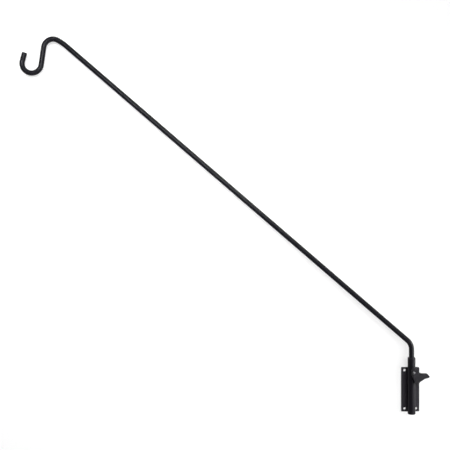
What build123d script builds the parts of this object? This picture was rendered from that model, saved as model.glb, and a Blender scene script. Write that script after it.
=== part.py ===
from build123d import *
from math import dist, pi, radians, sqrt, tan
import os

# Swivelling wall hook: a long bent rod stands in a short tube on a wall plate, held there by a sprung lever.
# Frame: X to the right along the wall, Y into the wall, Z up, from the middle of the plate's wall face.
# Lengths are millimetres and angles are degrees.

# Rod
rod_diameter = 10.2  # 10 mm bar with its powder coat
arm_length = 893.7  # from the corner that the lower bend would make to where the hook's lead-in starts
arm_rise_angle = 40.7  # of the long run, above the horizontal
lower_bend_radius = 23.5
shank_above_tube = 26.5  # from the tube's upper end to the corner of the lower bend
lead_in_radius = 90.0  # gentle bend before the tight one
lead_in_turn = 13.1
top_bend_radius = 18.2
hook_rise_length = 35.2
hook_rise_lean = 8.0  # from the vertical
bowl_radius = 18.5
tip_length = 16.8
tip_lean = 14.5  # from the vertical
tip_chamfer = 0.5
foot_chamfer = 1.2

# Groove round the shank, which the lever's toe drops into
groove_depth = 0.75
groove_play = 0.9

# Wall plate
plate_width = 36.0
plate_height = 88.0
plate_thickness = 2.5
plate_corner_radius = 1.5
plate_edge_radius = 0.4
hole_diameter = 5.0
hole_from_side = 6.5
hole_from_end = 6.0

# Tube
tube_diameter = 15.0
tube_wall = 1.5
tube_above_plate = 21.0
tube_below_plate = 2.9

# Bushes and end plug
rod_clearance = 0.05
seat_clearance = 0.02
collar_height = 3.0
collar_inset = 0.15
collar_bevel = 0.8
mouth_chamfer = 0.4
upper_sleeve_length = 12.0
lower_bush_length = 14.0
lower_bush_floor = 2.0
thrust_gap = 0.1
plug_rim_height = 2.2
plug_rim_round = 1.4
plug_spigot_length = 4.0

# Fillet welds between tube and plate
weld_leg = 6.5
weld_root = 1.7
weld_end_gap = 2.5
weld_throat_angle = 45.0  # on the tube, from the line where it touches the plate
weld_crown = 0.3

# Lever stud, which stands on the tube's front
stud_from_plate_end = 7.0
stud_diameter = 4.0
stud_shoulder_diameter = 4.6
stud_head_diameter = 5.8
stud_head_height = 1.6
stud_head_rim = 0.5
stud_end_play = 0.1
journal_clearance = 0.05

# Lever spring
wire_diameter = 0.7
wire_flats = 6  # the round wire is drawn with flats, which keeps its facets few
spring_clearance = 0.25  # round the stud's shoulder
spring_pitch = 1.35
spring_turns = 2
spring_side_gap = 0.2
leg_bend_radius = 1.0
lower_leg_length = 7.0
upper_leg_length = 6.0
wire_hole_clearance = 0.25
least_turn_gap = 0.4

# Lever
cheek_thickness = 3.0
hub_radius = 4.2
lever_reach = 32.2
lever_height = 36.0
grip_depth = 8.4
lever_edge_round = 0.9
lever_back_bevel = 0.5
driver_radius = 3.2  # room for a screwdriver at the screw hole that the lever would cover
toe_height = 5.0
toe_width = 5.0
toe_below_stud = 16.0
toe_clearance = 0.3
web_gap = 0.45
web_thickness = 2.4
web_margin = 1.0
web_round = 0.6
window_side_play = 0.5
window_play = 1.0
window_rise = 1.8  # room above the toe as it swings out

# Corners of the lever's outline from the stud's axis, clockwise from the ear: across as a share of
# lever_reach, up as a share of lever_height, and the corner's rounding as a share of hub_radius.
lever_corner_shares = (
    (-0.045, 0.306, 0.30),
    (0.106, 0.289, 0.60),
    (0.491, -0.056, 0.95),
    (0.857, -0.056, 0.75),
    (1.000, -0.211, 0.35),
    (0.944, -0.275, 0.45),
    (0.699, -0.325, 1.20),
    (0.398, -0.500, 1.40),
    (0.267, -0.689, 0.25),
    (0.186, -0.689, 0.25),
    (-0.131, -0.094, 1.00),
    (-0.131, 0.111, 1.00),
)

cut_overrun = 2.0

# Places that follow from the sizes above
rod_radius = rod_diameter / 2
tube_radius = tube_diameter / 2
bore_radius = tube_radius - tube_wall
plate_front = -plate_thickness
hole_across = plate_width / 2 - hole_from_side
hole_up = plate_height / 2 - hole_from_end
stud_height = plate_height / 2 - stud_from_plate_end
axis_y = plate_front - tube_radius
tube_front = axis_y - tube_radius
collar_top = plate_height / 2 + tube_above_plate
tube_top = collar_top - collar_height
plug_bottom = -plate_height / 2 - tube_below_plate
tube_bottom = plug_bottom + plug_rim_height
cup_bottom = tube_bottom + plug_spigot_length
rod_foot = cup_bottom + lower_bush_floor + thrust_gap
bush_radius = bore_radius - seat_clearance
bush_bore_radius = rod_radius + rod_clearance
groove_radius = rod_radius - groove_depth
wire_radius = wire_diameter / 2
spring_radius = stud_shoulder_diameter / 2 + spring_clearance + wire_radius
wire_hole_radius = wire_radius + wire_hole_clearance
coil_length = spring_pitch * (spring_turns - 1 / 4)
coil_back = tube_front - spring_side_gap - wire_radius
coil_front = coil_back - coil_length
lever_back = coil_front - wire_radius - spring_side_gap
lever_front = lever_back - cheek_thickness
toe_low = stud_height - toe_below_stud - toe_height / 2
toe_high = toe_low + toe_height
web_left = tube_radius + web_gap
web_right = web_left + web_thickness


def front_plane(depth):
    """Drawing plane parallel to the wall, seen from the front, with its own height axis up."""
    return Plane((0, depth, 0), x_dir=(1, 0, 0), z_dir=(0, -1, 0))


def upright(radius, low, high):
    """Round bar on the tube's axis between two heights."""
    return Pos(0, axis_y, low) * extrude(Circle(radius), high - low)


def block(left, right, front, back, low, high):
    """Square-edged block between six named places."""
    size = (right - left, back - front, high - low)
    middle = ((left + right) / 2, (front + back) / 2, (low + high) / 2)
    return Pos(*middle) * Box(*size)


def cross_bar(radius, across, up, front, back):
    """Round bar that runs straight back towards the wall."""
    bar = extrude(Pos(across, up) * Circle(radius), back - front)
    return front_plane(back) * bar


def rod_centre_line():
    """The rod's centre line from its foot to the hook's tip: straight runs joined by tangent arcs."""
    arm_heading = 180 - arm_rise_angle
    rise_heading = 270 - hook_rise_lean
    tip_heading = 90 - tip_lean
    lower_turn = arm_heading - 90
    top_turn = rise_heading - arm_heading - lead_in_turn
    lower_set_back = lower_bend_radius * tan(radians(lower_turn) / 2)
    shank_end = collar_top + shank_above_tube - lower_set_back

    shank = Line((0, rod_foot), (0, shank_end))
    lower_bend = JernArc(shank @ 1, shank % 1, lower_bend_radius, lower_turn)
    run = (lower_bend % 1) * (arm_length - lower_set_back)
    arm = Line(lower_bend @ 1, lower_bend @ 1 + run)
    lead_in = JernArc(arm @ 1, arm % 1, lead_in_radius, lead_in_turn)
    top_bend = JernArc(lead_in @ 1, lead_in % 1, top_bend_radius, top_turn)
    rise = Line(top_bend @ 1, top_bend @ 1 + (top_bend % 1) * hook_rise_length)
    bowl = JernArc(rise @ 1, rise % 1, bowl_radius, tip_heading - rise_heading)
    tip = Line(bowl @ 1, bowl @ 1 + (bowl % 1) * tip_length)
    drawing = Wire([*shank.edges(), *lower_bend.edges(), *arm.edges(), *lead_in.edges(),
                    *top_bend.edges(), *rise.edges(), *bowl.edges(), *tip.edges()])
    return front_plane(axis_y).location * drawing


def make_arm_rod():
    """The bent rod, with a chamfer at each end and the groove that the lever's toe drops into."""
    section = Pos(0, axis_y, rod_foot) * Circle(rod_radius)
    rod = sweep(section, path=rod_centre_line())
    foot = rod.faces().filter_by(GeomType.PLANE).sort_by(Axis.Z)[0]
    rod = chamfer(foot.edges(), foot_chamfer)
    tip = rod.faces().filter_by(GeomType.PLANE).sort_by(Axis.Z)[-1]
    rod = chamfer(tip.edges(), tip_chamfer)
    low, high = toe_low - groove_play, toe_high + groove_play
    ring = upright(rod_radius + cut_overrun, low, high) - upright(groove_radius, low, high)
    return rod - ring


def make_mounting_plate():
    """Flat plate with rounded corners, eased edges and four screw holes."""
    outline = RectangleRounded(plate_width, plate_height, plate_corner_radius)
    plate = front_plane(0) * extrude(outline, plate_thickness)
    rim = plate.faces().sort_by(Axis.Y)[0].edges()
    plate = fillet(rim, plate_edge_radius)
    for across in (-hole_across, hole_across):
        for up in (-hole_up, hole_up):
            plate -= cross_bar(hole_diameter / 2, across, up, plate_front - cut_overrun, cut_overrun)
    return plate


def make_pivot_tube():
    """Tube with a window in its right wall for the lever's toe and a small hole for the spring's leg."""
    tube = upright(tube_radius, tube_bottom, tube_top) - upright(bore_radius, tube_bottom, tube_top)
    half_width = toe_width / 2 + window_side_play
    tube -= block(0, tube_radius + cut_overrun, axis_y - half_width, axis_y + half_width,
                  toe_low - window_play, toe_high + window_rise)
    tube -= cross_bar(wire_hole_radius, spring_radius, stud_height - lower_leg_length,
                      tube_front - cut_overrun, axis_y)
    return tube


def make_right_weld():
    """Fillet weld that fills the corner between the tube's right side and the plate."""
    def on_tube(angle):
        return Vector(0, axis_y) + Vector(0, tube_radius).rotate(Axis.Z, -angle)

    root_y = axis_y + sqrt(tube_radius ** 2 - weld_root ** 2)
    throat = on_tube(weld_throat_angle)
    toe = Vector(weld_leg, plate_front)
    middle = (throat + toe) / 2
    outward = (toe - throat).rotate(Axis.Z, 90).normalized() * -weld_crown
    edges = [
        Line((weld_root, plate_front), toe),
        ThreePointArc(toe, middle + outward, throat),
        ThreePointArc(throat, on_tube(weld_throat_angle / 2), (weld_root, root_y)),
        Line((weld_root, root_y), (weld_root, plate_front)),
    ]
    low = -plate_height / 2 + weld_end_gap
    length = plate_height - 2 * weld_end_gap
    return Pos(0, 0, low) * extrude(make_face(edges), length)


def make_upper_bush():
    """Flanged bush: its collar caps the tube and its sleeve lines the tube's upper end."""
    collar = upright(tube_radius - collar_inset, tube_top, collar_top)
    collar = chamfer(collar.edges().sort_by(Axis.Z)[-1], collar_bevel)
    bush = collar + upright(bush_radius, tube_top - upper_sleeve_length, tube_top)
    bush -= upright(bush_bore_radius, tube_top - upper_sleeve_length, collar_top)
    mouth = bush.edges().filter_by(GeomType.CIRCLE).group_by(Axis.Z)[-1].sort_by(SortBy.RADIUS)[0]
    return chamfer(mouth, mouth_chamfer)


def make_lower_bush():
    """Blind bush: a cup that guides the rod's foot and carries the arm's weight on its floor."""
    top = cup_bottom + lower_bush_length
    cup = upright(bush_radius, cup_bottom, top)
    return cup - upright(bush_bore_radius, cup_bottom + lower_bush_floor, top)


def make_end_plug():
    """Plug with a rounded rim that closes the tube's lower end."""
    rim = upright(tube_radius, plug_bottom, tube_bottom)
    rim = fillet(rim.edges().sort_by(Axis.Z)[0], plug_rim_round)
    return rim + upright(bush_radius, tube_bottom, cup_bottom)


def make_lever_stud():
    """Shouldered stud on the tube's front, with a domed head that keeps the lever on."""
    shoulder_radius, journal_radius, head_radius = (
        width / 2 for width in (stud_shoulder_diameter, stud_diameter, stud_head_diameter))
    shoulder_end = -lever_back - stud_end_play
    head_start = -lever_front + stud_end_play
    rim_end = head_start + stud_head_rim
    crown = head_start + stud_head_height
    half_section = [
        Polyline((0, crown), (0, -axis_y), (shoulder_radius, -axis_y), (shoulder_radius, shoulder_end),
                 (journal_radius, shoulder_end), (journal_radius, head_start),
                 (head_radius, head_start), (head_radius, rim_end)),
        TangentArc((0, crown), (head_radius, rim_end), tangent=(1, 0)),
    ]
    stud = revolve(make_face([edge for line in half_section for edge in line.edges()]), Axis.Y)
    along_stud = Plane((0, 0, stud_height), x_dir=(1, 0, 0), z_dir=(0, 0, -1))
    return along_stud * stud - upright(tube_radius, tube_bottom, collar_top)


def make_locking_lever():
    """Flat cheek on the stud, a deep grip for the finger, and a web that carries the toe back to the rod."""
    corners = [(across * lever_reach, up * lever_height) for across, up, _ in lever_corner_shares]
    rounds = [share * hub_radius for _, _, share in lever_corner_shares]
    outline = Pos(0, stud_height) * make_face(FilletPolyline(*corners, radius=rounds, close=True))
    grip_back = lever_front + grip_depth
    lever = front_plane(grip_back) * extrude(outline, grip_depth)
    lever = fillet(lever.faces().sort_by(Axis.Y)[0].edges(), lever_edge_round)
    lever = chamfer(lever.faces().sort_by(Axis.Y)[-1].edges(), lever_back_bevel)
    lever -= block(-lever_reach, web_right, lever_back, grip_back + cut_overrun,
                   stud_height - lever_height, stud_height + lever_height)

    web_low, web_high = toe_low - web_margin, toe_high + web_margin
    web_back = axis_y + toe_width / 2
    web = block(web_left, web_right, lever_back, web_back, web_low, web_high)
    web = fillet(web.edges().filter_by(Axis.X).group_by(Axis.Y)[-1], web_round)
    toe = block(0, web_right, axis_y - toe_width / 2, web_back, toe_low, toe_high)
    toe -= upright(groove_radius + toe_clearance, toe_low, toe_high)
    lever = lever + web + toe

    front, back = lever_front - cut_overrun, lever_back + cut_overrun
    lever -= cross_bar(driver_radius, hole_across, hole_up, front, grip_back + cut_overrun)
    lever -= cross_bar(stud_diameter / 2 + journal_clearance, 0, stud_height, front, back)
    lever -= cross_bar(wire_hole_radius, spring_radius, stud_height + upper_leg_length, front, back)
    return lever


def biarc(start, start_way, end, end_way):
    """Two tangent arcs that leave one point and reach another in the given directions."""
    chord = end - start
    square = 2 * (start_way.dot(end_way) - 1)
    linear = -2 * chord.dot(start_way + end_way)
    reach = (-linear - sqrt(linear ** 2 - 4 * square * chord.dot(chord))) / (2 * square)
    knot = (start + start_way * reach + end - end_way * reach) / 2
    first = TangentArc(start, knot, tangent=start_way)
    second = TangentArc(knot, end, tangent=first % 1)
    return [*first.edges(), *second.edges()]


def coil_edges():
    """The spring's turns, quarter by quarter, level at both ends: across, up, and out from the wall."""
    quarters = 4 * spring_turns
    stations = []
    for quarter in range(quarters + 1):
        inside = 0 < quarter < quarters
        climb = spring_pitch * (quarter / 4 - 1 / 8) if inside else coil_length * (quarter > 0)
        slope = spring_pitch / (2 * pi * spring_radius) if inside else 0
        spoke = Vector(1, 0).rotate(Axis.Z, 90 * quarter)
        way = (spoke.rotate(Axis.Z, 90) + Vector(0, 0, slope)).normalized()
        stations.append((Vector(0, stud_height, climb - coil_back) + spoke * spring_radius, way))
    return [edge for (start, way), (end, end_way) in zip(stations, stations[1:])
            for edge in biarc(start, way, end, end_way)]


def least_gap(path):
    """Least clear distance between the spring's wire and itself, measured on points along its centre line."""
    count = 600
    points = [tuple(path.position_at(step / count)) for step in range(count + 1)]
    half_turn = round(count * pi * spring_radius / path.length)
    nearest = min(dist(points[i], points[j])
                  for i in range(count) for j in range(i + half_turn, count + 1))
    return nearest - wire_diameter


def make_lever_spring():
    """Torsion spring round the stud: one leg sits in the tube's wall and the other in the lever's ear."""
    in_tube = axis_y - sqrt(bore_radius ** 2 - spring_radius ** 2) - wire_diameter
    in_ear = lever_front + wire_diameter
    lower, upper = stud_height - lower_leg_length, stud_height + upper_leg_length
    start = Vector(spring_radius, lower, -in_tube)
    lower_leg = FilletPolyline(start, (spring_radius, lower, -coil_back),
                               (spring_radius, stud_height, -coil_back), radius=leg_bend_radius)
    upper_leg = FilletPolyline((spring_radius, stud_height, -coil_front), (spring_radius, upper, -coil_front),
                               (spring_radius, upper, -in_ear), radius=leg_bend_radius)
    path = Wire([*lower_leg.edges(), *coil_edges(), *upper_leg.edges()])
    gap = round(least_gap(path), 3)
    print("least gap between the spring's turns", gap, "mm, wanted over", least_turn_gap)
    wire = sweep(Plane(start, z_dir=(0, 0, 1)) * RegularPolygon(wire_radius, wire_flats), path=path)
    return front_plane(0) * wire


right_weld = make_right_weld()
pieces = {
    "arm_rod": make_arm_rod(),
    "mounting_plate": make_mounting_plate(),
    "pivot_tube": make_pivot_tube(),
    "right_weld": right_weld,
    "left_weld": mirror(right_weld, Plane.YZ),
    "upper_bush": make_upper_bush(),
    "lower_bush": make_lower_bush(),
    "end_plug": make_end_plug(),
    "lever_stud": make_lever_stud(),
    "lever_spring": make_lever_spring(),
    "locking_lever": make_locking_lever(),
}

os.makedirs("parts", exist_ok=True)
for name, piece in pieces.items():
    export_step(piece, f"parts/{name}.step")
    print(name, "volume", round(piece.volume), "mm3")
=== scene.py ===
# %% [markdown]
# # A swivelling wall hook in black powder coat
#
# A long bent steel rod stands in a short tube on a small wall plate. A sprung finger lever beside
# the tube keeps it there, and a basket or lantern hangs from the open bowl at its far end. The
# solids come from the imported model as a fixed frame. This file dresses them: it gives every piece
# its finish, adds the two forms that look better as fine meshes, and builds the camera, the
# backdrop and the light.

# %% Load the frame
import bpy
from math import cos, pi, radians, sin, sqrt
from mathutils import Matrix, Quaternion, Vector


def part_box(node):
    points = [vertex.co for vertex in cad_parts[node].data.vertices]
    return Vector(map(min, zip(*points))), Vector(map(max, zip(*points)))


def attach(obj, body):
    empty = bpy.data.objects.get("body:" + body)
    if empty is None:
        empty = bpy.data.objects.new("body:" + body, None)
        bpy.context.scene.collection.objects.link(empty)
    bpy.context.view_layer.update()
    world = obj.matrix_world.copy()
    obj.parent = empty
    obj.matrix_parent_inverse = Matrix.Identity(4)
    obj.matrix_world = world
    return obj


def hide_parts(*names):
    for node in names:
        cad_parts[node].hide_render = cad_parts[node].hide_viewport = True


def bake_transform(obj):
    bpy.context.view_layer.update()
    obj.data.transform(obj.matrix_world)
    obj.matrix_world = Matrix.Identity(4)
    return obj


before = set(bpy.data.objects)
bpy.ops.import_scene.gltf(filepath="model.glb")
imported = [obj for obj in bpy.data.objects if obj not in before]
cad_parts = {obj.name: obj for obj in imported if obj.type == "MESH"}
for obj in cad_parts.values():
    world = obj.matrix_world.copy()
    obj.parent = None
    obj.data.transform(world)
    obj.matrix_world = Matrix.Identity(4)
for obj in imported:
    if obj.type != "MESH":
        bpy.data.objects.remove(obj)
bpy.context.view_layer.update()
MM = 0.001  # the scene is in metres
print("pieces in the frame:", ", ".join(sorted(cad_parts)))

# %% [markdown]
# ## Camera
#
# The photograph was taken from straight in front, level with the middle of the arm, with the
# bracket near the right edge of the picture. Perspective shows only in the bracket: the plate,
# which lies deeper than the tube, slips a little to the left of it. A long lens from far away
# would hide that, and a wide one would overdo it. The place and focal length below put the bend at
# the tube, the top of the hook, the bowl and the plate's corners where the photograph has them,
# within a pixel, so no lens shift is needed.

# %% Camera
CAMERA_PLACE = Vector((-0.4078, -1.3226, 0.3264))
CAMERA_TURN = radians(1.71)  # to the right of straight at the wall
FOCAL_LENGTH_IN_PICTURE_WIDTHS = 1.4898
SENSOR_WIDTH = 36.0
NEAREST_SEEN, FARTHEST_SEEN = 0.05, 40.0

camera_data = bpy.data.cameras.new("front_camera")
camera_data.sensor_width = SENSOR_WIDTH
camera_data.lens = SENSOR_WIDTH * FOCAL_LENGTH_IN_PICTURE_WIDTHS
camera_data.clip_start = NEAREST_SEEN
camera_data.clip_end = FARTHEST_SEEN
camera = bpy.data.objects.new("front_camera", camera_data)
camera.location = CAMERA_PLACE
camera.rotation_euler = (pi / 2, 0, -CAMERA_TURN)
bpy.context.scene.collection.objects.link(camera)
bpy.context.scene.camera = camera
print("focal length", round(camera_data.lens, 1), "mm")
print("the camera is", round(-CAMERA_PLACE.y, 2), "m from the wall")

# %% [markdown]
# ## Small helpers for node trees
#
# Every finish here is a node tree. A few helpers keep the trees short to read: they place a node
# and set its values, join an output to an input, stretch a value onto a range, do one sum, or
# start a group.


# %% Node helpers
def place(tree, kind, inputs=(), **settings):
    """Adds a node to a tree, then sets its properties and its unlinked inputs."""
    node = tree.nodes.new(kind)
    for name, value in settings.items():
        setattr(node, name, value)
    for name, value in dict(inputs).items():
        node.inputs[name].default_value = value
    return node


def join(tree, source, target):
    """Links an output socket to an input socket."""
    tree.links.new(source, target)


def ramp_value(tree, socket, low, high, start=0.0, end=1.0):
    """Maps a value that runs from start to end onto the range from low to high."""
    ramp = place(tree, "ShaderNodeMapRange",
                 inputs={"From Min": start, "From Max": end, "To Min": low, "To Max": high})
    join(tree, socket, ramp.inputs["Value"])
    return ramp.outputs["Result"]


def calculate(tree, operation, first, second, **settings):
    """Does one sum with two values, each of them a socket or a plain number."""
    node = place(tree, "ShaderNodeMath", operation=operation, **settings)
    for target, value in zip(node.inputs, (first, second)):
        if isinstance(value, bpy.types.NodeSocket):
            join(tree, value, target)
        else:
            target.default_value = value
    return node.outputs[0]


def new_group(name, inputs, outputs):
    """Makes an empty shader group from the names and values of its inputs and its output names."""
    group = bpy.data.node_groups.new(name, "ShaderNodeTree")
    kind = "NodeSocketFloat"
    for socket, value in inputs.items():
        made = group.interface.new_socket(name=socket, in_out="INPUT", socket_type=kind)
        made.default_value = value
    for socket in outputs:
        group.interface.new_socket(name=socket, in_out="OUTPUT", socket_type=kind)
    return group, group.nodes.new("NodeGroupInput"), group.nodes.new("NodeGroupOutput")


print("node helpers: place, join, ramp_value, calculate and new_group")

# %% [markdown]
# ## Powder coat, the skin that most pieces share
#
# Powder coat is sprayed as dry powder and melted on, so up close it has a soft orange-peel relief
# about a millimetre across, and a finer grain where single grains didn't flow out. It could be one
# noise in the bump, but two sizes of noise, with the fine one also shifting the tone, read better
# both near and far. The group gives a tone and a height, and each finish places it with its own
# sizes. Noise keeps near the middle of its range, so a finish stretches a part of it: the narrower
# the part, the harder its patches.

# %% Noise
NOISE_ROUGHNESS = 0.55
SOFT_LOW, SOFT_HIGH = 0.3, 0.7
TONE_LOW, TONE_HIGH = 0.35, 0.65
PATCH_LOW, PATCH_HIGH = 0.4, 0.6


def noise_of_size(tree, size_socket, coordinates, detail):
    """Noise whose lumps are about as wide as the size, in metres, that the socket gives."""
    noise = place(tree, "ShaderNodeTexNoise",
                  inputs={"Detail": detail, "Roughness": NOISE_ROUGHNESS})
    join(tree, coordinates, noise.inputs["Vector"])
    join(tree, calculate(tree, "DIVIDE", 1.0, size_socket), noise.inputs["Scale"])
    return noise.outputs["Fac"]


print("tones stretch noise from", TONE_LOW, "to", TONE_HIGH)

# %% Group: orange peel
orange_peel, peel_in, peel_out = new_group(
    "orange_peel",
    {"Peel Size": 1.2 * MM, "Grain Size": 0.3 * MM, "Grain Share": 0.35},
    ["Tone", "Height"],
)
peel_place = place(orange_peel, "ShaderNodeTexCoord").outputs["Object"]
peel_lumps = noise_of_size(orange_peel, peel_in.outputs["Peel Size"], peel_place, detail=1.0)
peel_grain = noise_of_size(orange_peel, peel_in.outputs["Grain Size"], peel_place, detail=3.0)
peel_mix = place(orange_peel, "ShaderNodeMix", data_type="FLOAT")
join(orange_peel, peel_in.outputs["Grain Share"], peel_mix.inputs["Factor"])
join(orange_peel, peel_lumps, peel_mix.inputs["A"])
join(orange_peel, peel_grain, peel_mix.inputs["B"])
join(orange_peel, peel_mix.outputs["Result"], peel_out.inputs["Height"])
join(orange_peel, peel_grain, peel_out.inputs["Tone"])
print("group orange_peel has", len(orange_peel.nodes), "nodes")

# %% [markdown]
# ## Thin edges
#
# Melted powder pulls back from sharp edges, and handling rubs them, so edges are a little lighter
# than flats. A vertex-based mask would need a dense mesh. A Bevel node compares the true normal
# with a rounded one instead, and works on any mesh: where the two differ, there is an edge.

# %% Group: thin edges
FLAT_LIKENESS = 0.995  # how alike the two normals still are where an edge begins
EDGE_LIKENESS = 0.85  # and where it is fully there
LEAST_WEAR = 0.25  # what an edge keeps of the mask in its least worn patches

thin_edges, edges_in, edges_out = new_group(
    "thin_edges", {"Width": 0.6 * MM, "Break Up": 4 * MM}, ["Mask"])
true_normal = place(thin_edges, "ShaderNodeNewGeometry")
rounded = place(thin_edges, "ShaderNodeBevel", samples=4)
join(thin_edges, edges_in.outputs["Width"], rounded.inputs["Radius"])
likeness = place(thin_edges, "ShaderNodeVectorMath", operation="DOT_PRODUCT")
join(thin_edges, true_normal.outputs["Normal"], likeness.inputs[0])
join(thin_edges, rounded.outputs["Normal"], likeness.inputs[1])
edge_ramp = ramp_value(thin_edges, likeness.outputs["Value"], 0.0, 1.0,
                       start=FLAT_LIKENESS, end=EDGE_LIKENESS)
edge_place = place(thin_edges, "ShaderNodeTexCoord").outputs["Object"]
edge_patches = noise_of_size(thin_edges, edges_in.outputs["Break Up"], edge_place, detail=2.0)
edge_wear = ramp_value(thin_edges, edge_patches, LEAST_WEAR, 1.0, start=PATCH_LOW, end=PATCH_HIGH)
edge_mask = calculate(thin_edges, "MULTIPLY", edge_ramp, edge_wear, use_clamp=True)
join(thin_edges, edge_mask, edges_out.inputs["Mask"])
print("group thin_edges has", len(thin_edges.nodes), "nodes")

# %% [markdown]
# ## Settled dust
#
# A hook in a shop or on a deck has a breath of dust on the faces that look up, which lightens the
# coat slightly. Loose grains would be a mesh of their own and far too fine to see, so it is a mask:
# the upward part of the normal, broken up by a soft noise.

# %% Group: settled dust
DUST_STARTS_AT = 0.2  # upward part of the normal from which dust stays on a face

settled_dust, dust_in, dust_out = new_group(
    "settled_dust", {"Patch Size": 12 * MM, "Amount": 0.3}, ["Mask"])
dust_normal = place(settled_dust, "ShaderNodeNewGeometry")
dust_axes = place(settled_dust, "ShaderNodeSeparateXYZ")
join(settled_dust, dust_normal.outputs["Normal"], dust_axes.inputs["Vector"])
dust_up = ramp_value(settled_dust, dust_axes.outputs["Z"], 0.0, 1.0, start=DUST_STARTS_AT)
dust_place = place(settled_dust, "ShaderNodeTexCoord").outputs["Object"]
dust_noise = noise_of_size(settled_dust, dust_in.outputs["Patch Size"], dust_place, detail=4.0)
dust_spread = calculate(settled_dust, "MULTIPLY", dust_up, dust_noise)
dust_mask = calculate(settled_dust, "MULTIPLY", dust_spread, dust_in.outputs["Amount"],
                      use_clamp=True)
join(settled_dust, dust_mask, dust_out.inputs["Mask"])
print("group settled_dust has", len(settled_dust.nodes), "nodes")

# %% [markdown]
# ## The coat as a material
#
# The rod, the bracket and the lever wear the same kind of coat, but the photograph shows four
# shades of it: a satin black with a soft stripe on the rod, a deeper black on the tube, a flatter
# and paler one on the plate, and a coarse texture on the lever. The tube and the plate are welded
# into one piece under one coat, so their two tones are painted light and shade: the tube's coat is
# painted darker for shade, and the plate's is painted paler for light. One material could cover
# them all with masks. One function that builds each from the groups above is easier to follow,
# because only the numbers differ. The Principled shader stays in the material, with its plain
# values on its own sockets.


# %% Material helpers
def mix_colors(tree, mask, first, second):
    """Goes from one colour to another by a mask. Either colour may be a socket or a plain value."""
    mix = place(tree, "ShaderNodeMix", data_type="RGBA")
    join(tree, mask, mix.inputs["Factor"])
    for name, value in (("A", first), ("B", second)):
        target = [s for s in mix.inputs if s.name == name and s.type == "RGBA"][0]
        if isinstance(value, bpy.types.NodeSocket):
            join(tree, value, target)
        else:
            target.default_value = (*value, 1)
    return [s for s in mix.outputs if s.type == "RGBA"][0]


def use_group(tree, group, **values):
    """Places a node group with its own values, whose names have underscores for spaces."""
    node = place(tree, "ShaderNodeGroup", node_tree=group)
    for name, value in values.items():
        node.inputs[name.replace("_", " ")].default_value = value
    return node


def blank_material(name):
    """A material with an empty tree and a Principled shader joined to its output."""
    material = bpy.data.materials.new(name)
    material.use_nodes = True
    tree = material.node_tree
    tree.nodes.clear()
    output = place(tree, "ShaderNodeOutputMaterial")
    shader = place(tree, "ShaderNodeBsdfPrincipled")
    join(tree, shader.outputs["BSDF"], output.inputs["Surface"])
    return material, tree, shader


def bump(tree, shader, height, depth, strength):
    """Joins a height to the shader's normal through a Bump node, depth in metres."""
    node = place(tree, "ShaderNodeBump", inputs={"Strength": strength, "Distance": depth})
    join(tree, height, node.inputs["Height"])
    join(tree, node.outputs["Normal"], shader.inputs["Normal"])


print("material helpers: mix_colors, use_group, blank_material and bump")

# %% Coat material
DUST = (0.16, 0.155, 0.15)
EDGE_GAIN = 1.6  # how much lighter a worn edge is than the coat's light tone
PEEL_STRENGTH = 0.6


def coat(name, dark, light, roughness, peel, grain, depth, dust, shine):
    """Black powder coat from its two tones, its range of roughness and its relief in metres."""
    material, tree, shader = blank_material(name)
    skin = use_group(tree, orange_peel, Peel_Size=peel, Grain_Size=grain)
    edges = use_group(tree, thin_edges)
    dusty = use_group(tree, settled_dust, Amount=dust)
    tone = ramp_value(tree, skin.outputs["Tone"], 0, 1, start=TONE_LOW, end=TONE_HIGH)
    worn = tuple(EDGE_GAIN * part for part in light)
    colour = mix_colors(tree, tone, dark, light)
    colour = mix_colors(tree, edges.outputs["Mask"], colour, worn)
    colour = mix_colors(tree, dusty.outputs["Mask"], colour, DUST)
    join(tree, colour, shader.inputs["Base Color"])
    join(tree, ramp_value(tree, skin.outputs["Height"], *roughness, start=SOFT_LOW, end=SOFT_HIGH),
         shader.inputs["Roughness"])
    shader.inputs["Specular IOR Level"].default_value = shine
    bump(tree, shader, skin.outputs["Height"], depth, PEEL_STRENGTH)
    return material


print("a worn edge is", EDGE_GAIN, "times as light as the coat")

# %% The four coats
rod_coat = coat("rod_coat", dark=(0.004, 0.0036, 0.006), light=(0.008, 0.0072, 0.0105),
                roughness=(0.22, 0.31), peel=1.4 * MM, grain=0.35 * MM, depth=0.05 * MM,
                dust=0.03, shine=0.13)
# painted shade: a darker copy of the bracket's coat, worn by the tube, its welds and its plug
tube_coat_painted_shade = coat("tube_coat_painted_shade", dark=(0.003, 0.0025, 0.005), light=(0.007, 0.006, 0.010),
                 roughness=(0.34, 0.44), peel=1.4 * MM, grain=0.35 * MM, depth=0.05 * MM,
                 dust=0.03, shine=0.13)
# painted light: a paler copy of the same coat, worn by the plate
plate_coat_painted_light = coat("plate_coat_painted_light", dark=(0.018, 0.0165, 0.021), light=(0.030, 0.028, 0.034),
                  roughness=(0.38, 0.48), peel=1.6 * MM, grain=0.4 * MM, depth=0.06 * MM,
                  dust=0.03, shine=0.12)
lever_coat = coat("lever_coat", dark=(0.002, 0.0017, 0.003), light=(0.017, 0.0155, 0.020),
                  roughness=(0.42, 0.6), peel=2.2 * MM, grain=1.3 * MM, depth=0.2 * MM,
                  dust=0.05, shine=0.19)
print("coats:", rod_coat.name, tube_coat_painted_shade.name, plate_coat_painted_light.name, lever_coat.name)

# %% [markdown]
# ## Nylon, stud and spring
#
# The bushes are black nylon: duller than the coat and finely grained by the mould. The stud's head
# is steel, turned on a lathe, so its scratches run in rings round its axis. They could be painted
# along the mesh, but a wave texture centred on that axis needs no unwrapping. The spring is drawn
# wire with a film of oil. It takes the same steel: the rings are nearly straight there, like fine
# scratches, and a slow noise in tone and roughness is the film.

# %% Nylon
NYLON_DARK, NYLON_LIGHT = (0.008, 0.007, 0.010), (0.016, 0.0145, 0.019)


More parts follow.
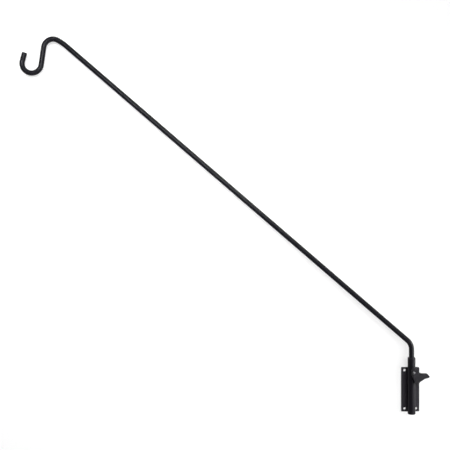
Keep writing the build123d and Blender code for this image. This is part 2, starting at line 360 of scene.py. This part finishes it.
def nylon():
    """Moulded black nylon with a fine sandy grain."""
    material, tree, shader = blank_material("black_nylon")
    skin = use_group(tree, orange_peel, Peel_Size=0.8 * MM, Grain_Size=0.2 * MM)
    tone = ramp_value(tree, skin.outputs["Tone"], 0, 1, start=TONE_LOW, end=TONE_HIGH)
    join(tree, mix_colors(tree, tone, NYLON_DARK, NYLON_LIGHT), shader.inputs["Base Color"])
    join(tree, ramp_value(tree, skin.outputs["Tone"], 0.5, 0.68), shader.inputs["Roughness"])
    shader.inputs["Specular IOR Level"].default_value = 0.2
    bump(tree, shader, skin.outputs["Height"], depth=0.04 * MM, strength=0.5)
    return material


black_nylon = nylon()
print("nylon:", black_nylon.name)

# %% Steel
RING_SCALE = 1400  # rings about 0.2 mm apart
FILM_SCALE = 420  # blots about 2.4 mm wide


def steel(name, dark, light, roughness, ring_centre=None):
    """Bare steel. Its rings run round the line through the centre towards the wall."""
    material, tree, shader = blank_material(name)
    vector = place(tree, "ShaderNodeTexCoord").outputs["Object"]
    if ring_centre:
        shift = place(tree, "ShaderNodeVectorMath", operation="SUBTRACT", inputs={1: ring_centre})
        join(tree, vector, shift.inputs[0])
        vector = shift.outputs["Vector"]
    marks = place(tree, "ShaderNodeTexWave", wave_type="RINGS", rings_direction="Y",
                  inputs={"Scale": RING_SCALE, "Distortion": 1.5, "Detail": 2.0})
    join(tree, vector, marks.inputs["Vector"])
    film = place(tree, "ShaderNodeTexNoise", inputs={"Scale": FILM_SCALE, "Detail": 3.0})
    join(tree, vector, film.inputs["Vector"])
    join(tree, mix_colors(tree, film.outputs["Fac"], dark, light), shader.inputs["Base Color"])
    join(tree, ramp_value(tree, film.outputs["Fac"], *roughness, start=SOFT_LOW, end=SOFT_HIGH),
         shader.inputs["Roughness"])
    shader.inputs["Metallic"].default_value = 1.0
    bump(tree, shader, marks.outputs["Fac"], depth=0.01 * MM, strength=0.35)
    return material


stud_low, stud_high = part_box("lever_stud")
STUD_AXIS = ((stud_low.x + stud_high.x) / 2, 0, (stud_low.z + stud_high.z) / 2)
stud_steel = steel("stud_steel", dark=(0.05, 0.05, 0.052), light=(0.16, 0.16, 0.165),
                   roughness=(0.28, 0.42), ring_centre=STUD_AXIS)
spring_steel = steel("spring_steel", dark=(0.16, 0.16, 0.17), light=(0.34, 0.34, 0.35),
                     roughness=(0.25, 0.42))
print("stud axis at", [round(v, 4) for v in STUD_AXIS])

# %% [markdown]
# ## Shading the solids
#
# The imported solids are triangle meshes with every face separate, so that corners stay sharp. Seen
# close, a bend then shows where one face ends and the next begins. Editing the mesh isn't wanted
# here, so a small geometry node modifier welds it on the fly and shades it smooth across every edge
# that is flatter than a set angle.

# %% Weld and smooth modifier
WELD_DISTANCE = 0.002 * MM
SHARP_ANGLE = radians(32)


def smooth_shading_tree(name, weld_distance, sharp_angle):
    """Geometry nodes that weld a mesh and keep only edges sharper than the angle as hard edges."""
    tree = bpy.data.node_groups.new(name, "GeometryNodeTree")
    for way in ("INPUT", "OUTPUT"):
        tree.interface.new_socket(name="Geometry", in_out=way, socket_type="NodeSocketGeometry")
    entry, leave = tree.nodes.new("NodeGroupInput"), tree.nodes.new("NodeGroupOutput")
    plain = place(tree, "GeometryNodeRemoveAttribute", inputs={"Name": "custom_normal"})
    weld = place(tree, "GeometryNodeMergeByDistance", inputs={"Distance": weld_distance})
    all_smooth = place(tree, "GeometryNodeSetShadeSmooth", domain="FACE")
    hard_edges = place(tree, "GeometryNodeSetShadeSmooth", domain="EDGE",
                       inputs={"Shade Smooth": False})
    chain = (entry, plain, weld, all_smooth, hard_edges, leave)
    for before, after in zip(chain, chain[1:]):
        join(tree, before.outputs["Geometry"], after.inputs["Geometry"])
    angle = place(tree, "GeometryNodeInputMeshEdgeAngle")
    is_sharp = place(tree, "FunctionNodeCompare", data_type="FLOAT", operation="GREATER_THAN",
                     inputs={"B": sharp_angle})
    join(tree, angle.outputs["Unsigned Angle"], is_sharp.inputs["A"])
    join(tree, is_sharp.outputs["Result"], hard_edges.inputs["Selection"])
    return tree


weld_and_smooth = smooth_shading_tree("weld_and_smooth", WELD_DISTANCE, SHARP_ANGLE)
print("modifier weld_and_smooth has", len(weld_and_smooth.nodes), "nodes")

# %% Dress the solids
FINISHES = {
    "arm_rod": rod_coat,
    "mounting_plate": plate_coat_painted_light,
    "pivot_tube": tube_coat_painted_shade,
    "end_plug": tube_coat_painted_shade,
    "upper_bush": black_nylon,
    "lower_bush": black_nylon,
    "lever_stud": stud_steel,
    "locking_lever": lever_coat,
}
for node_name, finish in FINISHES.items():
    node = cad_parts[node_name]
    for material_slot in node.material_slots:
        material_slot.material = finish
    modifier = node.modifiers.new("weld_and_smooth", "NODES")
    modifier.node_group = weld_and_smooth
print("dressed", len(FINISHES), "solids")

# %% [markdown]
# ## Skins over rings of points
#
# The two forms that follow, a round wire and a weld bead, are both closed skins over a row of rings
# of points. A curve with a bevel could make the wire and a modifier the bead, but plain points and
# faces serve both, with the same number of points each time. One helper joins the rings.


# %% Skin over rings
def skin_mesh(name, rings, flip=False):
    """A closed mesh over rings of points: smooth between the rings, with a flat cap at each end."""
    count = len(rings[0])
    faces = []
    for first in range(0, (len(rings) - 1) * count, count):
        for index in range(count):
            after = (index + 1) % count
            faces.append((first + index, first + after,
                          first + count + after, first + count + index))
    faces.append(tuple(reversed(range(count))))
    faces.append(tuple(range((len(rings) - 1) * count, len(rings) * count)))
    if flip:
        faces = [tuple(reversed(face)) for face in faces]
    mesh = bpy.data.meshes.new(name)
    mesh.from_pydata([point for ring in rings for point in ring], [], faces)
    mesh.polygons.foreach_set("use_smooth", [len(face) == 4 for face in faces])
    mesh.update()
    return mesh


def add_piece(name, mesh, material):
    """Puts a new mesh in the scene with its finish."""
    piece = bpy.data.objects.new(name, mesh)
    bpy.context.scene.collection.objects.link(piece)
    piece.data.materials.append(material)
    return piece


print("piece helpers: skin_mesh and add_piece")

# %% [markdown]
# ## Lever spring
#
# A torsion spring sits round the stud, between the tube and the lever. One leg is hooked through
# the tube's wall and the other through the lever's ear, so lifting the lever winds it up. The solid
# has flats to keep its facets few, so here a round wire replaces it. Its path is worked out from
# the spring's own sizes: straight legs with bent corners, and two turns that start and end level.
# As the lever turns, the coil winds with it: each point follows the bracket at the back of the

# %% Spring sizes
STUD_HEIGHT = STUD_AXIS[2]
WIRE_RADIUS = 0.35 * MM
SPRING_RADIUS = 2.9 * MM
SPRING_PITCH = 1.35 * MM
SPRING_TURNS = 2
COIL_EASE = 1 / 4  # the part of a turn in which the coil leaves the level, and reaches it again
LEG_BEND_RADIUS = 1.0 * MM
LOWER_LEG = 7.0 * MM
UPPER_LEG = 6.0 * MM
COIL_BACK = -18.05 * MM
COIL_FRONT = COIL_BACK - SPRING_PITCH * (SPRING_TURNS - COIL_EASE)
spring_low, spring_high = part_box("lever_spring")
print("coil runs from", round(COIL_BACK / MM, 2), "to", round(COIL_FRONT / MM, 2), "mm")


# %% Spring path
def bent_corner(before, corner, after, radius, steps=8):
    """Points of a rounded right-angled corner."""
    way_in, way_out = (corner - before).normalized(), (after - corner).normalized()
    centre = corner - way_in * radius + way_out * radius
    return [centre - way_out * radius * cos(t) + way_in * radius * sin(t)
            for t in (pi / 2 * step / steps for step in range(steps + 1))]


def coil_climb(turns):
    """How far forward the coil is after some turns, in pitches: level at its ends, else steady."""
    if turns < COIL_EASE:
        return turns ** 2 / (2 * COIL_EASE)
    if turns > SPRING_TURNS - COIL_EASE:
        return SPRING_TURNS - COIL_EASE - (SPRING_TURNS - turns) ** 2 / (2 * COIL_EASE)
    return turns - COIL_EASE / 2


def coil_points(steps_per_turn=48):
    """The spring's turns round the stud."""
    points = []
    for step in range(SPRING_TURNS * steps_per_turn + 1):
        turns = step / steps_per_turn
        angle = 2 * pi * turns
        points.append(Vector((SPRING_RADIUS * cos(angle),
                              COIL_BACK - SPRING_PITCH * coil_climb(turns),
                              STUD_HEIGHT + SPRING_RADIUS * sin(angle))))
    return points


def spring_points():
    """The whole wire, from the leg in the tube's wall to the leg in the lever's ear."""
    foot = Vector((SPRING_RADIUS, spring_high.y, STUD_HEIGHT - LOWER_LEG))
    low_corner = Vector((SPRING_RADIUS, COIL_BACK, STUD_HEIGHT - LOWER_LEG))
    coil = coil_points()
    high_corner = Vector((SPRING_RADIUS, COIL_FRONT, STUD_HEIGHT + UPPER_LEG))
    end = Vector((SPRING_RADIUS, spring_low.y, STUD_HEIGHT + UPPER_LEG))
    return [foot, *bent_corner(foot, low_corner, coil[0], LEG_BEND_RADIUS), *coil,
            *bent_corner(coil[-1], high_corner, end, LEG_BEND_RADIUS), end]


spring_path = spring_points()
wire_length = sum((after - before).length for before, after in zip(spring_path, spring_path[1:]))
print("spring wire is", round(wire_length / MM, 1), "mm long")


# %% Spring piece
def wire_rings(points, radius, sides=16):
    """Rings of points square to a path, carried along it without twist."""
    rings = []
    side_way = None
    angles = [2 * pi * side / sides for side in range(sides)]
    for index, point in enumerate(points):
        before, after = points[max(index - 1, 0)], points[min(index + 1, len(points) - 1)]
        way = (after - before).normalized()
        if side_way is None:
            side_way = way.orthogonal().normalized()
        side_way = (side_way - way * side_way.dot(way)).normalized()
        third = way.cross(side_way)
        rings.append([point + radius * (side_way * cos(angle) + third * sin(angle))
                      for angle in angles])
    return rings


wire = add_piece("lever_spring_wire",
                 skin_mesh("lever_spring_wire", wire_rings(spring_path, WIRE_RADIUS)),
                 spring_steel)
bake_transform(wire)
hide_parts("lever_spring")
print("spring wire has", len(wire.data.vertices), "points")

# %% [markdown]
# ## Weld beads
#
# The tube touches the plate along one line only, so a fillet weld runs down each side of it. A weld
# is laid in small overlapping puddles, and its ripples stay visible under the coat. The solid's
# bead is smooth. Ripples could be a bump texture, but a real shape catches the light better and
# survives in the exported mesh, so each bead is a fine strip whose face swells and dips along its
# length, in curved crescents, with tapered ends.

# %% Bead sizes
BEAD_ROOT = 1.7 * MM
BEAD_LEG = 6.5 * MM
BEAD_THROAT = radians(45)
BEAD_CROWN = 0.35 * MM
BEAD_SINK = 0.02 * MM  # how deep the bead's foot lies in the plate
BEAD_END_TAPER = 2.5 * MM
BEAD_END_SIZE = 0.35  # of the full section
RIPPLE_LENGTH = 2.4 * MM
RIPPLE_DEPTH = 0.16 * MM
RIPPLE_BEND = 1.3 * MM
RIPPLE_SHAPE = 0.6  # below 1, each puddle rises fast and then flattens
RIPPLE_WAY = 0.7  # the face looks about halfway between front and side, so it swells along both
ROWS_PER_RIPPLE = 8
FACE_COLUMNS = 8
tube_low, tube_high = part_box("pivot_tube")
PLATE_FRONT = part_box("mounting_plate")[0].y
TUBE_RADIUS = (tube_high.x - tube_low.x) / 2
TUBE_AXIS_Y = (tube_high.y + tube_low.y) / 2
print("tube radius", round(TUBE_RADIUS / MM, 2), "mm, axis at", round(TUBE_AXIS_Y / MM, 2), "mm")


# %% Bead shape
def arch(share):
    """A bow that is 0 at both ends of a span and 1 in its middle."""
    return 4 * share * (1 - share)


def on_tube(angle):
    """A point of the tube's outline seen from above, at an angle from where it meets the plate."""
    return Vector((TUBE_RADIUS * sin(angle), TUBE_AXIS_Y + TUBE_RADIUS * cos(angle)))


def bead_section(size):
    """The bead seen from above: its face from plate to tube, then its hidden back along both."""
    leg = BEAD_ROOT + (BEAD_LEG - BEAD_ROOT) * size
    throat = BEAD_THROAT * (1 + size) / 2
    start, end = Vector((leg, PLATE_FRONT + BEAD_SINK)), on_tube(throat)
    out = Vector((-(end - start).y, (end - start).x)).normalized()
    if out.x < 0:
        out = -out
    shares = [column / FACE_COLUMNS for column in range(FACE_COLUMNS + 1)]
    face = [start.lerp(end, share) + out * BEAD_CROWN * arch(share) for share in shares]
    return [*face, on_tube(throat / 2), Vector((BEAD_ROOT, PLATE_FRONT + BEAD_SINK))]


def ripple(z, share):
    """How far the face swells at a height and a share of the way from the plate to the tube."""
    phase = ((z + RIPPLE_BEND * arch(share)) / RIPPLE_LENGTH) % 1
    return RIPPLE_WAY * RIPPLE_DEPTH * (phase ** RIPPLE_SHAPE - 0.5) * arch(share)


def bead_rings(side, low, high):
    """Sections of a bead on one side of the tube (side is 1 or -1), rippled along its height."""
    rows = round((high - low) / RIPPLE_LENGTH * ROWS_PER_RIPPLE)
    rings = []
    for row in range(rows + 1):
        z = low + (high - low) * row / rows
        inset = min(z - low, high - z, BEAD_END_TAPER) / BEAD_END_TAPER
        size = BEAD_END_SIZE + (1 - BEAD_END_SIZE) * sqrt(max(0.0, 1 - (1 - inset) ** 2))
        ring = []
        for index, point in enumerate(bead_section(size)):
            share = index / FACE_COLUMNS
            swell = ripple(z, share) if share < 1 else 0.0
            ring.append((side * (point.x + swell), point.y - swell, z))
        rings.append(ring)
    return rings


print("bead section has", len(bead_section(1)), "points")

# %% Bead pieces
for side_name, side in (("right", 1), ("left", -1)):
    weld_low, weld_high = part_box(f"{side_name}_weld")
    sections = bead_rings(side, weld_low.z, weld_high.z)
    bead = add_piece(f"{side_name}_weld_bead",
                     skin_mesh(f"{side_name}_weld_bead", sections, flip=side > 0),
                     tube_coat_painted_shade)
    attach(bead, "bracket")
    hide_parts(f"{side_name}_weld")
    print(bead.name, "is", round((weld_high.z - weld_low.z) / MM, 1), "mm long with",
          len(bead.data.vertices), "points")

# %% [markdown]
# ## Backdrop and floor
#
# The photograph has a pure white ground with a faint soft shadow beside the object, on its lower
# left. Here the plate's back lies against a white board, as it would on a wall. If the board were
# only lit white, the lamps would have to be far too strong for the black object. So part of its
# white is its own colour, given to the camera and to reflections alone through Light Path, and the
# other part is real light on it, which the object's shadow takes away. The lamps stand on the
# right, so their light thins out towards the lower left. The board is painted whiter there and
# greyer near the lamps, so that it looks evenly white and its shadows are equally faint everywhere.
# The floor is the same material in a greyer shade, because it lies far below the picture and would
# only whiten the underside of the rod. Seen from behind, the board is clear, so it never hides the
# hook's back.

# %% Board and floor material
BOARD_GLOW = 0.6
BOARD_FAR_WHITE = 0.73  # at the picture's lower left corner
BOARD_NEAR_WHITE = 0.38  # at its right edge
FLOOR_WHITE = 0.46
FLOOR_GLOW = 0.2
LAMP_WAY = (1.0, 0.0, 0.5)  # the way in which the lamps' light on the board grows
FADE_START, FADE_END = -1.1, 0.1  # where along that way the white starts and ends its change, in m


def board_material(name, far_white, near_white, glow_strength, clear_from_behind):
    """White that the camera sees partly as its own colour, and that still takes shadows."""
    material = bpy.data.materials.new(name)
    material.use_nodes = True
    tree = material.node_tree
    tree.nodes.clear()
    output = place(tree, "ShaderNodeOutputMaterial")
    where = place(tree, "ShaderNodeTexCoord")
    along = place(tree, "ShaderNodeVectorMath", operation="DOT_PRODUCT", inputs={1: LAMP_WAY})
    join(tree, where.outputs["Object"], along.inputs[0])
    white = ramp_value(tree, along.outputs["Value"], far_white, near_white, FADE_START, FADE_END)
    matte = place(tree, "ShaderNodeBsdfDiffuse")
    join(tree, white, matte.inputs["Color"])
    rays = place(tree, "ShaderNodeLightPath").outputs
    seen = calculate(tree, "MAXIMUM", rays["Is Camera Ray"], rays["Is Glossy Ray"])
    seen = calculate(tree, "MAXIMUM", seen, rays["Is Transmission Ray"])
    glow = place(tree, "ShaderNodeEmission", inputs={"Color": (1, 1, 1, 1)})
    join(tree, calculate(tree, "MULTIPLY", seen, glow_strength), glow.inputs["Strength"])
    both = place(tree, "ShaderNodeAddShader")
    join(tree, matte.outputs["BSDF"], both.inputs[0])
    join(tree, glow.outputs["Emission"], both.inputs[1])
    surface = both.outputs["Shader"]
    if clear_from_behind:
        facing = place(tree, "ShaderNodeNewGeometry")
        clear = place(tree, "ShaderNodeBsdfTransparent")
        choose = place(tree, "ShaderNodeMixShader")
        join(tree, facing.outputs["Backfacing"], choose.inputs["Fac"])
        join(tree, surface, choose.inputs[1])
        join(tree, clear.outputs["BSDF"], choose.inputs[2])
        surface = choose.outputs["Shader"]
    join(tree, surface, output.inputs["Surface"])
    return material


white_board = board_material("white_board", BOARD_FAR_WHITE, BOARD_NEAR_WHITE, BOARD_GLOW,
                             clear_from_behind=True)
grey_floor = board_material("grey_floor", FLOOR_WHITE, FLOOR_WHITE, FLOOR_GLOW,
                            clear_from_behind=False)
print("backdrop materials:", white_board.name, grey_floor.name)

# %% Board and floor
BOARD_GAP = 0.3 * MM
FLOOR_HEIGHT = -0.6
REACH = 4.0  # how far the sheets run from the hook, in metres


def flat_sheet(name, corners, material):
    """One flat rectangle that is part of the studio."""
    mesh = bpy.data.meshes.new(name)
    mesh.from_pydata(corners, [], [tuple(range(len(corners)))])
    sheet = bpy.data.objects.new(name, mesh)
    bpy.context.scene.collection.objects.link(sheet)
    sheet.data.materials.append(material)
    return sheet


board = flat_sheet("back_board",
                   [(-REACH, BOARD_GAP, FLOOR_HEIGHT), (REACH, BOARD_GAP, FLOOR_HEIGHT),
                    (REACH, BOARD_GAP, REACH), (-REACH, BOARD_GAP, REACH)], white_board)
floor = flat_sheet("floor",
                   [(-REACH, -REACH, FLOOR_HEIGHT), (REACH, -REACH, FLOOR_HEIGHT),
                    (REACH, REACH, FLOOR_HEIGHT), (-REACH, REACH, FLOOR_HEIGHT)], grey_floor)
print("board faces", board.data.polygons[0].normal[:])
print("floor faces", floor.data.polygons[0].normal[:])

# %% [markdown]
# ## Light
#
# A black object shows its lamps more than its colour, so each lamp is placed by what it does in the
# photograph. The shadow falls softly to the lower left, so the main light is a large soft box up
# and to the right. The tube is nearly black on its left and bright over its whole right half, up to
# the very edge, so a second box stands low on the right, almost level with the wall, and a small
# one under it fills the bend between them. The arm and the hook have a soft stripe along the middle
# of the rod. A lamp makes such a stripe only where it mirrors into the camera, so a small one would
# light a single spot of the arm. The fourth box is a long strip in front of the arm instead, turned
# until it lies along it, and a grid on its front keeps most of its light off the bracket. The world
# is a plain grey. A white one would light the shades as well, but it would also lie as a veil over
# the black coat.

# %% World
WORLD_LIGHT = 0.3
world = bpy.data.worlds.new("studio_world")
bpy.context.scene.world = world
world.use_nodes = True
world_tree = world.node_tree
world_tree.nodes.clear()
world_out = place(world_tree, "ShaderNodeOutputWorld")
world_glow = place(world_tree, "ShaderNodeBackground",
                   inputs={"Color": (1, 1, 1, 1), "Strength": WORLD_LIGHT})
join(world_tree, world_glow.outputs["Background"], world_out.inputs["Surface"])
print("world light", WORLD_LIGHT)

# %% Soft boxes
ARM_SLOPE = -40.8  # the arm's slope as the camera sees it, in degrees


def soft_box(name, place_at, aim_at, width, height, watts, spread=180, roll=0):
    """A rectangular lamp that faces a point. A spread below 180 degrees is a grid on its front."""
    lamp = bpy.data.lights.new(name, "AREA")
    lamp.shape = "RECTANGLE"
    lamp.size, lamp.size_y = width, height
    lamp.energy = watts
    lamp.spread = radians(spread)
    box = bpy.data.objects.new(name, lamp)
    box.location = place_at
    way = Vector(aim_at) - Vector(place_at)
    turned = way.to_track_quat("-Z", "Y") @ Quaternion((0, 0, 1), radians(roll))
    box.rotation_euler = turned.to_euler()
    box.visible_camera = False
    bpy.context.scene.collection.objects.link(box)
    print(name, "stands", round(way.length, 2), "m from what it lights")


soft_box("key_box", place_at=(0.75, -1.75, 1.4), aim_at=(-0.35, 0, 0.35),
         width=1.5, height=1.3, watts=23)
soft_box("side_box", place_at=(0.82, -0.33, 0.1), aim_at=(0, -0.01, 0.03),
         width=0.6, height=0.6, watts=9.5)
soft_box("low_box", place_at=(0.62, -0.95, -0.28), aim_at=(0, -0.01, 0.02),
         width=0.45, height=0.45, watts=0.6, spread=70)
soft_box("arm_box", place_at=(-0.65, -1.9, 0.84), aim_at=(-0.62, 0, 0.64),
         width=1.2, height=0.16, watts=2.2, spread=42, roll=ARM_SLOPE)
bpy.context.scene.view_settings.view_transform = "Standard"
